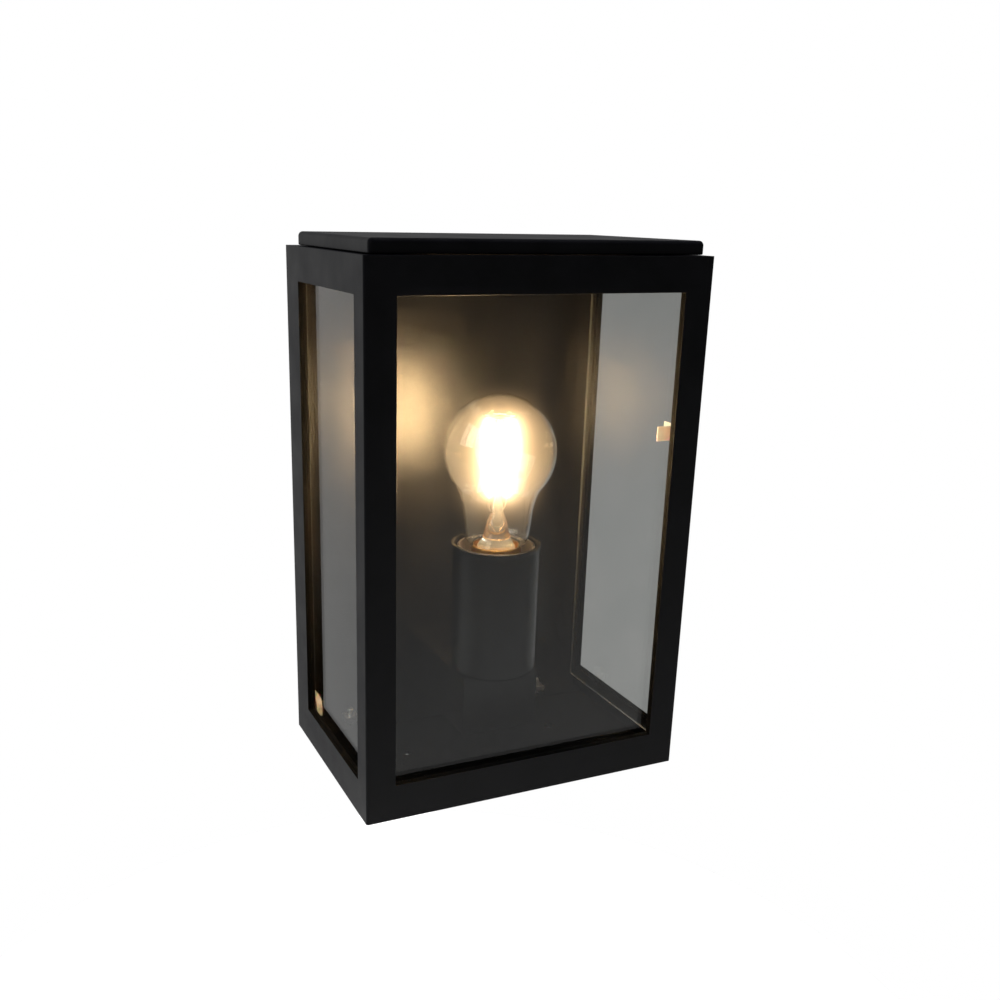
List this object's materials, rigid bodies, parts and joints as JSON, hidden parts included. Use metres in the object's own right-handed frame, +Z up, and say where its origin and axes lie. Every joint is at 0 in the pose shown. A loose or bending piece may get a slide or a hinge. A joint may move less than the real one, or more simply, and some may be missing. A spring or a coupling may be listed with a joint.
{
  "type": "outdoor wall lantern",
  "caption": "Box-shaped metal wall lantern with glass front and sides, a slightly smaller lid and a screw-in filament lamp standing in a round cup.",
  "frame": {"origin": "On the back plate's rear face, where the wall holds the lantern, 136 mm above the underside of the cover", "axes": "+Z up, +X to the right seen from the front, -Y out of the wall towards the viewer"},
  "size_m": [0.18, 0.121, 0.28],
  "materials": {
    "powder_coat": "black polyester powder coat, satin with a fine orange peel",
    "rubber": "moulded black EPDM rubber, matt",
    "zinc_steel": "bright zinc-plated steel",
    "nickel_shell": "nickel-plated pressed shell",
    "brass": "turned and pressed brass",
    "white_nylon": "moulded natural nylon",
    "holder_insert": "black moulded heat-resistant insert",
    "wire_brown": "extruded sleeve, brown",
    "wire_blue": "extruded sleeve, blue",
    "wire_green": "extruded sleeve, green with a yellow stripe",
    "cap_insulator": "black cap insulator",
    "solder_contact": "dull solder contact",
    "lamp_glass": "clear blown glass",
    "filament": "yellow phosphor over a slim carrier, glowing warm when lit",
    "support_wire": "drawn nickel wire",
    "pane_glass": "clear float glass with ground edges"
  },
  "bodies": {
    "base": {"back_plate": "powder_coat", "cable_grommet": "rubber", "earth_washer": "zinc_steel", "earth_screw": "brass", "terminal_block": "white_nylon", "terminal_screw_1": "brass", "terminal_screw_2": "brass", "terminal_screw_3": "brass", "holder_bracket": "powder_coat", "bracket_screw_left": "zinc_steel", "bracket_screw_right": "zinc_steel", "holder_nipple": "zinc_steel", "holder_locknut_lower": "zinc_steel", "holder_locknut_upper": "zinc_steel", "holder_cup": "powder_coat", "holder_body": "holder_insert", "contact_base": "holder_insert", "screw_shell": "nickel_shell", "centre_contact": "brass", "wire_live": "wire_brown", "wire_neutral": "wire_blue", "wire_earth": "wire_green", "pane_stop": "white_nylon"},
    "lamp": {"lamp_cap": "brass", "lamp_insulator": "cap_insulator", "lamp_contact": "solder_contact", "lamp_envelope": "lamp_glass", "lamp_stem": "lamp_glass", "filament_1": "filament", "filament_2": "filament", "filament_3": "filament", "filament_4": "filament", "filament_crown": "support_wire", "lead_wire_left": "support_wire", "lead_wire_right": "support_wire"},
    "cover": {"cover_frame": "powder_coat", "pane_front": "pane_glass", "pane_left": "pane_glass", "pane_right": "pane_glass", "corner_clip": "zinc_steel", "seal_front": "rubber", "seal_left": "rubber", "seal_right": "rubber", "cover_nut_left": "zinc_steel", "cover_nut_right": "zinc_steel", "lid_grommet_1": "rubber", "lid_grommet_2": "rubber", "lid_grommet_3": "rubber", "lid_grommet_4": "rubber"},
    "lid": {"lid": "powder_coat"},
    "screw_left": {"cover_screw_left": "zinc_steel"},
    "screw_right": {"cover_screw_right": "zinc_steel"}
  },
  "joints": [
    {"name": "cover_off", "type": "slide", "parent": "base", "child": "cover", "axis": [0, -1, 0], "range_m": [0, 0.13]},
    {"name": "lid_off", "type": "slide", "parent": "cover", "child": "lid", "axis": [0, 0, 1], "range_m": [0, 0.03]},
    {"name": "lamp_out", "type": "slide", "parent": "base", "child": "lamp", "axis": [0, 0, 1], "range_m": [0, 0.028]},
    {"name": "screw_left_turn", "type": "hinge", "parent": "cover", "child": "screw_left", "pos_m": [-0.06, -0.015, -0.136], "axis": [0, 0, 1], "continuous": true},
    {"name": "screw_right_turn", "type": "hinge", "parent": "cover", "child": "screw_right", "pos_m": [0.06, -0.015, -0.136], "axis": [0, 0, 1], "continuous": true}
  ]
}
